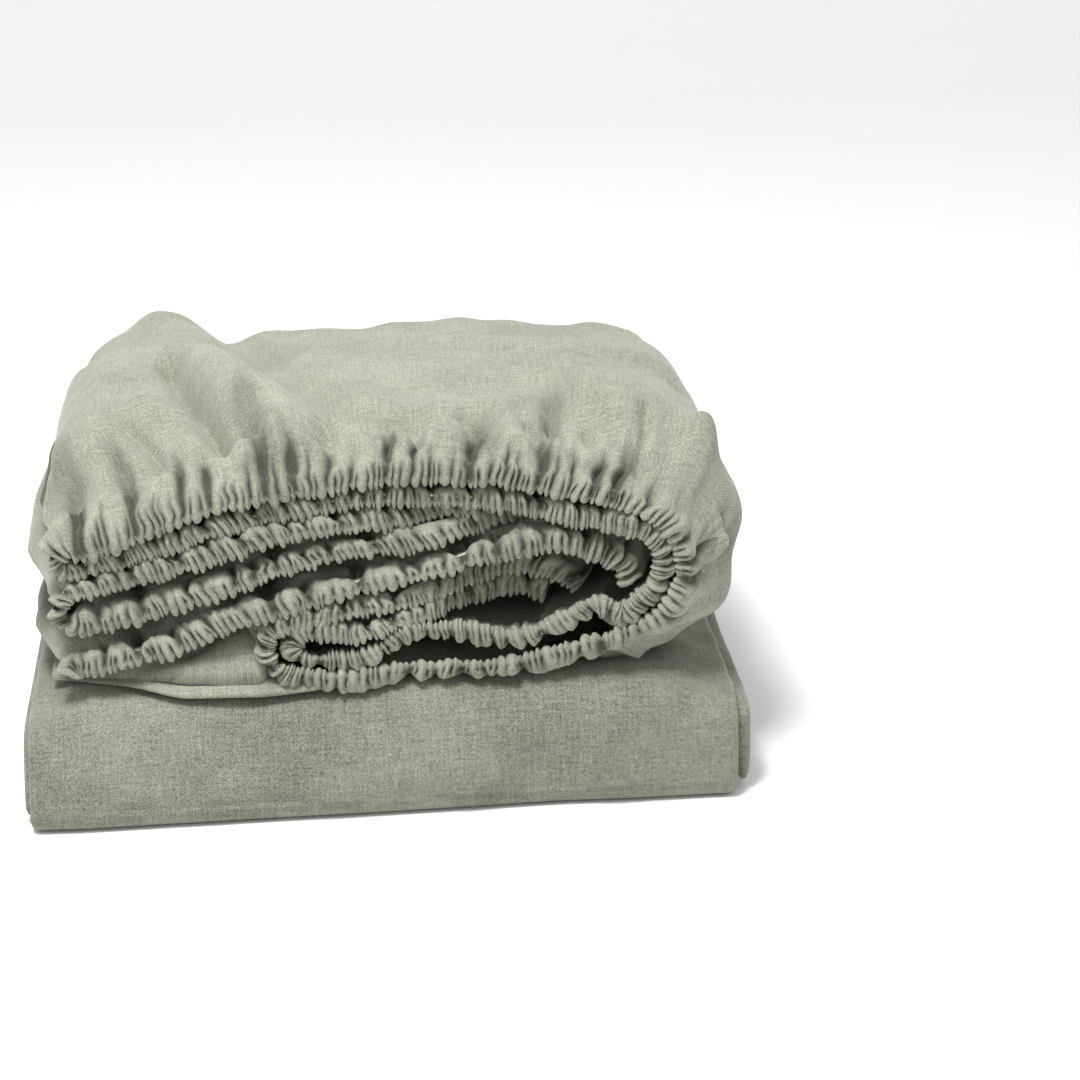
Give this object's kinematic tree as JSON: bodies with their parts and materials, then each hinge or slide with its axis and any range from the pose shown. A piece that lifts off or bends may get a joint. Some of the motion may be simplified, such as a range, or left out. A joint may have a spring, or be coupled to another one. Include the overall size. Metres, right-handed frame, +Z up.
{
  "type": "folded linen fitted sheet on a folded bed cover",
  "caption": "Linen fitted sheet with a gathered elastic hem, folded in a loose bundle and resting on a neatly folded linen bed cover.",
  "frame": {"origin": "middle of the underside, at the height of the surface it rests on", "axes": "+Z up, the gathered hem faces -Y, +X to the right of someone facing the hem"},
  "size_m": [0.265, 0.2, 0.1499],
  "materials": {
    "sheet_linen": "washed sage linen, matt",
    "hem_linen": "washed sage linen, gathered",
    "cover_linen": "washed sage linen, matt",
    "cover_linen_light": "washed sage linen, matt",
    "elastic_white": "matt white elastic webbing, inside the casing"
  },
  "bodies": {
    "cover_base": {"cover_outer_ply_lower": "cover_linen", "cover_second_ply_lower": "cover_linen_light", "cover_core_ply_lower": "cover_linen"},
    "cover_leaf": {"cover_outer_ply_upper": "cover_linen", "cover_second_ply_upper": "cover_linen_light", "cover_core_ply_upper": "cover_linen"},
    "sheet_base": {"middle_upper_ply": "sheet_linen", "middle_upper_hem_casing": "hem_linen", "middle_upper_hem_elastic": "elastic_white", "left_fold_middle_ply": "sheet_linen", "left_fold_middle_hem_casing": "hem_linen", "left_fold_middle_hem_elastic": "elastic_white", "middle_lower_ply": "sheet_linen", "middle_lower_hem_casing": "hem_linen", "middle_lower_hem_elastic": "elastic_white", "petal_ply": "sheet_linen", "petal_hem_casing": "hem_linen", "petal_hem_elastic": "elastic_white", "left_fold_lower_ply": "sheet_linen", "left_fold_lower_hem_casing": "hem_linen", "left_fold_lower_hem_elastic": "elastic_white", "recess_upper_ply": "sheet_linen", "recess_upper_hem_casing": "hem_linen", "recess_upper_hem_elastic": "elastic_white", "recess_lower_ply": "sheet_linen", "recess_lower_hem_casing": "hem_linen", "recess_lower_hem_elastic": "elastic_white", "curl_inner_ply": "sheet_linen", "curl_inner_hem_casing": "hem_linen", "curl_inner_hem_elastic": "elastic_white", "curl_outer_ply": "sheet_linen", "curl_outer_hem_casing": "hem_linen", "curl_outer_hem_elastic": "elastic_white", "bottom_inner_ply": "sheet_linen", "bottom_inner_hem_casing": "hem_linen", "bottom_inner_hem_elastic": "elastic_white", "bottom_outer_ply": "sheet_linen", "bottom_outer_hem_casing": "hem_linen", "bottom_outer_hem_elastic": "elastic_white", "tail_upper_ply": "sheet_linen", "tail_lower_ply": "sheet_linen"},
    "sheet_top_leaf": {"top_outer_ply": "sheet_linen", "top_outer_hem_casing": "hem_linen", "top_outer_hem_elastic": "elastic_white", "left_fold_top_ply": "sheet_linen", "left_fold_top_hem_casing": "hem_linen", "left_fold_top_hem_elastic": "elastic_white", "top_inner_ply": "sheet_linen", "top_inner_hem_casing": "hem_linen", "top_inner_hem_elastic": "elastic_white", "corner_pocket": "sheet_linen"}
  },
  "joints": [
    {"name": "cover_leaf_open", "type": "hinge", "parent": "cover_base", "child": "cover_leaf", "pos_m": [0, -0.1, 0.023], "axis": [1, 0, 0], "range_deg": [0, 30]},
    {"name": "sheet_lift", "type": "slide", "parent": "cover_leaf", "child": "sheet_base", "axis": [0, 0, 1], "range_m": [0, 0.25]},
    {"name": "top_leaf_open", "type": "hinge", "parent": "sheet_base", "child": "sheet_top_leaf", "pos_m": [0.1285, 0, 0.09], "axis": [0, 1, 0], "range_deg": [0, 150]}
  ]
}
